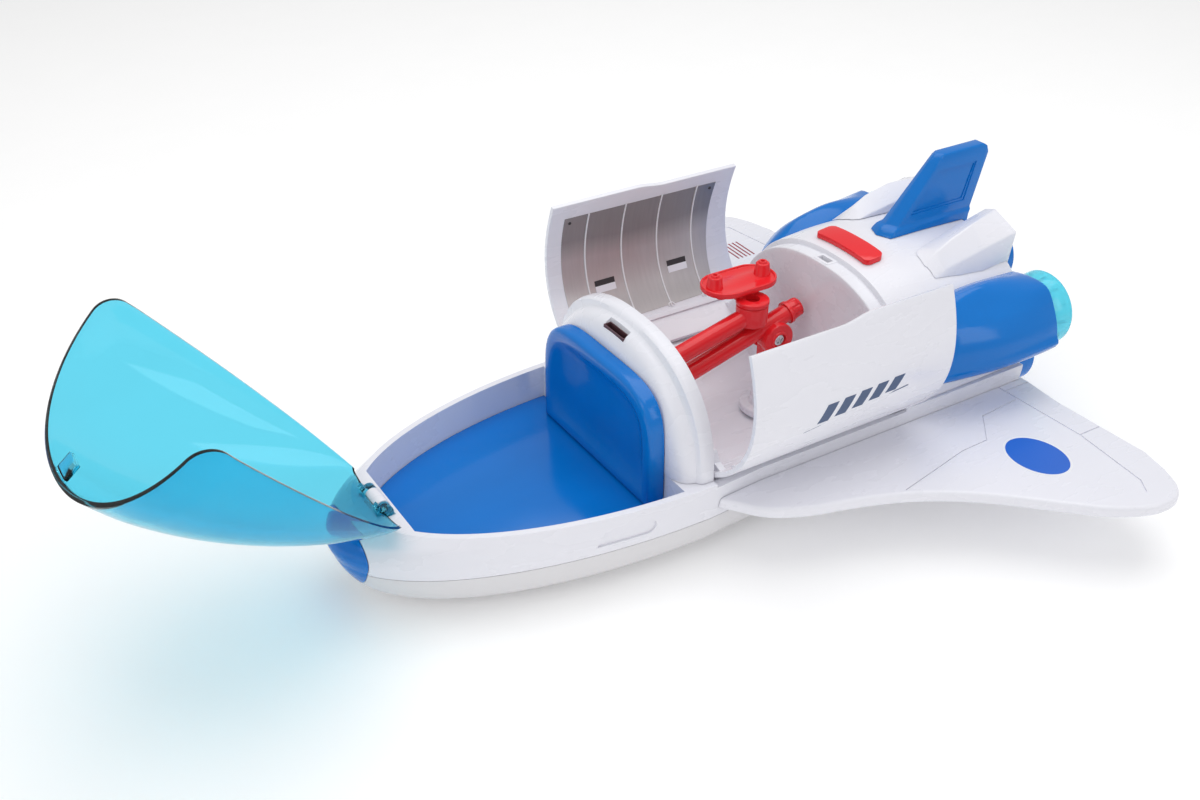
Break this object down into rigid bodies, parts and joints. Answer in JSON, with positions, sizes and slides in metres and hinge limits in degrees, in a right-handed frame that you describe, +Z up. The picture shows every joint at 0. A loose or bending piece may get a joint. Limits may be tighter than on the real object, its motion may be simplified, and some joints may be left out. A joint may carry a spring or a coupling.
{
  "type": "toy space shuttle",
  "caption": "Toy space shuttle with a clear tipping canopy over a cockpit, opening cargo bay doors, a jointed arm with a turning foot plate, swept wings, a tail fin and rolling wheels.",
  "frame": {"origin": "on the ground under the wheels, at the middle of the bounding box in plan", "axes": "nose towards -Y and tail towards +Y, port side towards +X, +Z up; canopy and bay doors open as pictured"},
  "size_m": [0.319, 0.4438, 0.128],
  "materials": {
    "hull_white": "gloss",
    "belly_white": "satin",
    "nose_blue": "gloss",
    "cockpit_blue": "gloss",
    "seat_blue": "gloss",
    "arch_white": "gloss",
    "bay_white": "gloss",
    "deck_white": "gloss",
    "wing_port_white": "gloss",
    "wing_starboard_white": "gloss",
    "booster_port_blue": "gloss",
    "booster_starboard_blue": "gloss",
    "nozzle_port_cyan": "clear gloss",
    "nozzle_starboard_cyan": "clear gloss",
    "rear_pod_port_white": "gloss",
    "rear_pod_starboard_white": "gloss",
    "fin_blue": "gloss",
    "button_red": "gloss",
    "tail_blue": "gloss",
    "engine_bell_top_blue": "gloss",
    "engine_bell_port_blue": "gloss",
    "engine_bell_starboard_blue": "gloss",
    "hinge_white": "gloss",
    "turret_red": "gloss",
    "canopy_cyan": "clear gloss",
    "door_port_white": "gloss",
    "door_starboard_white": "gloss",
    "arm_lower_red": "gloss",
    "arm_upper_red": "gloss",
    "plate_red": "gloss",
    "tyre_port": "matte",
    "tyre_starboard": "matte",
    "tyre_nose": "matte"
  },
  "bodies": {
    "shuttle_body": {"hull_upper": "hull_white", "belly": "belly_white", "nose_cap": "nose_blue", "cockpit_floor": "cockpit_blue", "seat_back": "seat_blue", "front_arch": "arch_white", "bay_tub": "bay_white", "aft_deck": "deck_white", "wing_port": "wing_port_white", "wing_starboard": "wing_starboard_white", "booster_port": "booster_port_blue", "booster_starboard": "booster_starboard_blue", "booster_nozzle_port": "nozzle_port_cyan", "booster_nozzle_starboard": "nozzle_starboard_cyan", "rear_pod_port": "rear_pod_port_white", "rear_pod_starboard": "rear_pod_starboard_white", "tail_fin": "fin_blue", "launch_button": "button_red", "tail_plate": "tail_blue", "engine_bell_top": "engine_bell_top_blue", "engine_bell_port": "engine_bell_port_blue", "engine_bell_starboard": "engine_bell_starboard_blue", "canopy_hinge": "hinge_white", "arm_turret": "turret_red"},
    "canopy": {"canopy": "canopy_cyan"},
    "bay_door_port": {"bay_door_port": "door_port_white"},
    "bay_door_starboard": {"bay_door_starboard": "door_starboard_white"},
    "arm_lower": {"arm_lower": "arm_lower_red"},
    "arm_upper": {"arm_upper": "arm_upper_red"},
    "foot_plate": {"foot_plate": "plate_red"},
    "wheel_port": {"wheel_port": "tyre_port"},
    "wheel_starboard": {"wheel_starboard": "tyre_starboard"},
    "wheel_nose": {"wheel_nose": "tyre_nose"}
  },
  "joints": [
    {"name": "canopy_tip", "type": "hinge", "parent": "shuttle_body", "child": "canopy", "pos_m": [0, -0.1094, 0.0422], "axis": [1, 0, 0], "range_deg": [-130.3, 0]},
    {"name": "door_port_swing", "type": "hinge", "parent": "shuttle_body", "child": "bay_door_port", "pos_m": [0.05, 0.0631, 0.0465], "axis": [0, 1, 0], "range_deg": [-68, 0]},
    {"name": "door_starboard_swing", "type": "hinge", "parent": "shuttle_body", "child": "bay_door_starboard", "pos_m": [-0.05, 0.0631, 0.0465], "axis": [0, -1, 0], "range_deg": [-68, 0]},
    {"name": "arm_shoulder", "type": "hinge", "parent": "shuttle_body", "child": "arm_lower", "pos_m": [-0.007, 0.0914, 0.0544], "axis": [-1, 0, 0], "range_deg": [0, 16]},
    {"name": "arm_elbow", "type": "hinge", "parent": "arm_lower", "child": "arm_upper", "pos_m": [-0.007, 0.0277, 0.0496], "axis": [1, 0, 0], "range_deg": [0, 60]},
    {"name": "plate_turn", "type": "hinge", "parent": "arm_upper", "child": "foot_plate", "pos_m": [-0.007, 0.0795, 0.0739], "axis": [0, 0, 1], "continuous": true},
    {"name": "wheel_port_roll", "type": "hinge", "parent": "shuttle_body", "child": "wheel_port", "pos_m": [0.032, 0.1291, 0.0065], "axis": [1, 0, 0], "continuous": true},
    {"name": "wheel_starboard_roll", "type": "hinge", "parent": "shuttle_body", "child": "wheel_starboard", "pos_m": [-0.032, 0.1291, 0.0065], "axis": [1, 0, 0], "continuous": true},
    {"name": "wheel_nose_roll", "type": "hinge", "parent": "shuttle_body", "child": "wheel_nose", "pos_m": [0, -0.0789, 0.0065], "axis": [1, 0, 0], "continuous": true}
  ]
}
